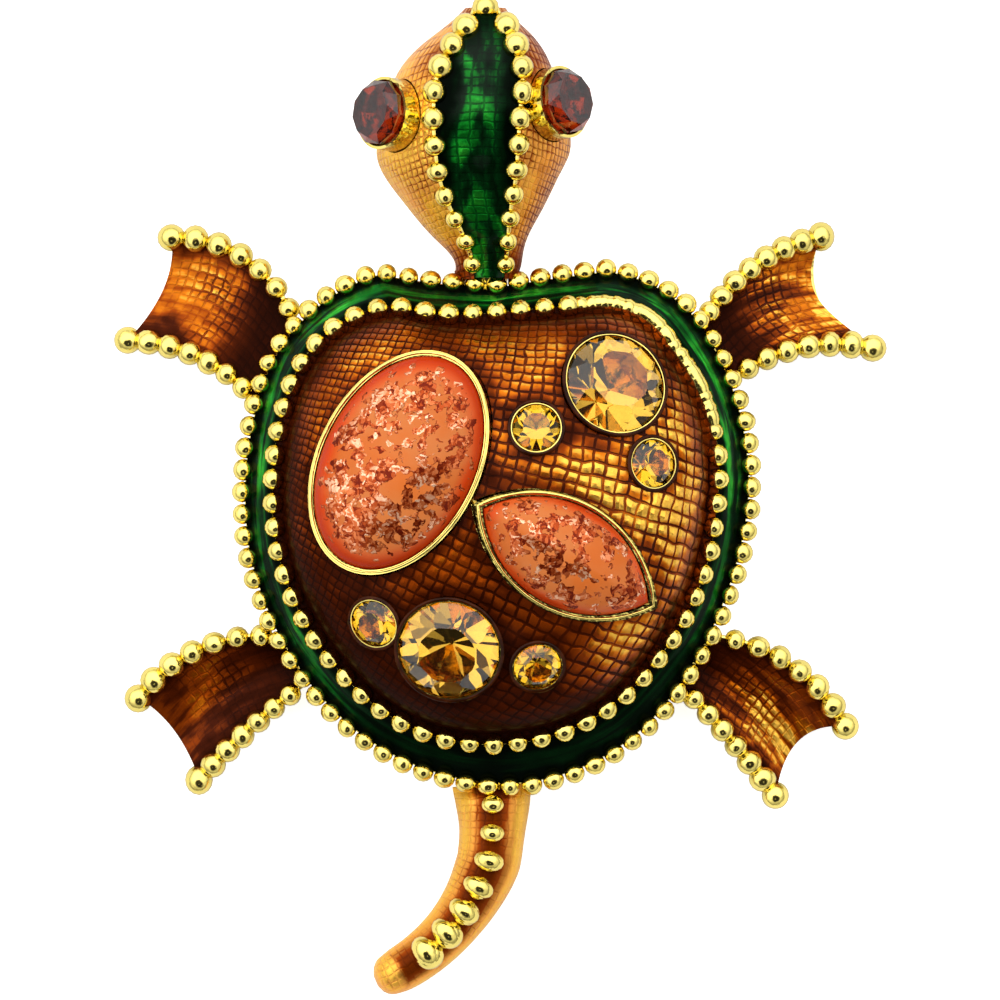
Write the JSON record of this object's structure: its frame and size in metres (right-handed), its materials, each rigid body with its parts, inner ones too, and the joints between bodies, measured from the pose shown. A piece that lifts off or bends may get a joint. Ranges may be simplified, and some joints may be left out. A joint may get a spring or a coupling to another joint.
{
  "type": "turtle brooch",
  "caption": "Turtle-shaped brooch with an enamelled, domed shell, beaded edges, set glass stones and a pin on its back.",
  "frame": {"origin": "on the table below the middle of the brooch's box, with the brooch lying on its back", "axes": "+Z out of the front of the brooch, +Y towards the turtle's head, +X to the right seen from the front"},
  "size_m": [0.0494, 0.064, 0.014],
  "materials": {
    "gilt_metal": "polished gilding with dark hollows",
    "pin_metal": "plain gilding",
    "amber_enamel": "glossy clear amber enamel over cross-hatched metal",
    "green_enamel": "glossy clear dark green enamel over metal",
    "foil_glass": "smooth domed glass with crinkled copper foil flakes",
    "champagne_glass": "faceted glass over foil",
    "honey_glass": "faceted glass over foil",
    "smoky_glass": "faceted dark glass over foil"
  },
  "bodies": {
    "root": {"casting": "gilt_metal", "shell_enamel": "amber_enamel", "rim_enamel": "green_enamel", "head_crown_enamel": "green_enamel", "head_enamel_left": "amber_enamel", "head_enamel_right": "amber_enamel", "flipper_enamel_front_left": "amber_enamel", "flipper_enamel_front_right": "amber_enamel", "flipper_enamel_rear_left": "amber_enamel", "flipper_enamel_rear_right": "amber_enamel", "tail_enamel": "amber_enamel", "oval_cabochon": "foil_glass", "marquise_cabochon": "foil_glass", "large_stone_front": "champagne_glass", "large_stone_rear": "champagne_glass", "small_stone_1": "honey_glass", "small_stone_2": "honey_glass", "small_stone_3": "honey_glass", "small_stone_4": "honey_glass", "eye_stone_left": "smoky_glass", "eye_stone_right": "smoky_glass", "pin_back": "pin_metal"}
  },
  "joints": []
}
